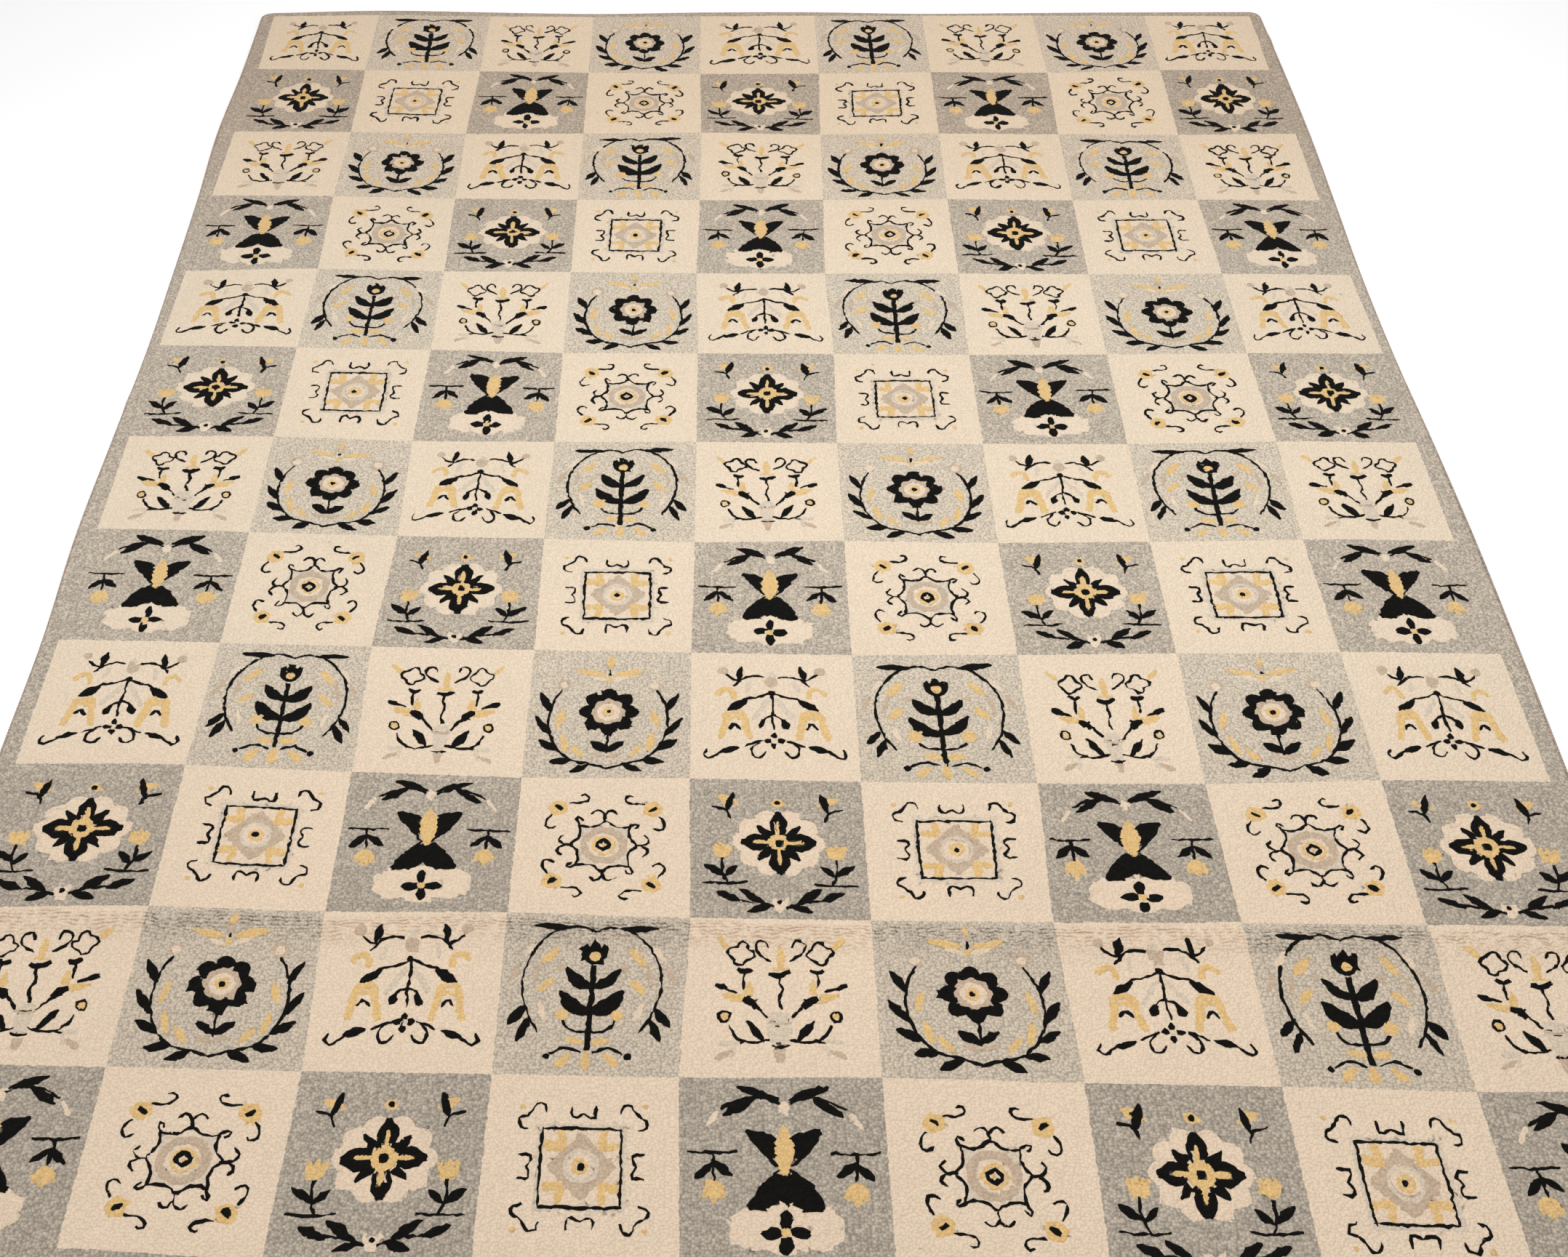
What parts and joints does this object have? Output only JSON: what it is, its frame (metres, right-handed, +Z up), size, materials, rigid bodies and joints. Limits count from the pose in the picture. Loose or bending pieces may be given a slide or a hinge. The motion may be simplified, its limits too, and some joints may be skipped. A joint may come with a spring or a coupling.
{
  "type": "hooked rug",
  "caption": "Room-size hooked rug: one flat sheet of looped wool pile on a backing, with a slightly wavy outline, rounded corners and a low ridge across it where it was once folded.",
  "frame": {"origin": "on the floor under the middle of the rug's bounding box", "axes": "+X across the rug, +Y along its length towards the end where the squares start, +Z up out of the pile"},
  "size_m": [2.7642, 3.649, 0.0169],
  "materials": {
    "wool_pile": "looped wool, matte"
  },
  "bodies": {
    "root": {"hooked_rug": "wool_pile"}
  },
  "joints": []
}
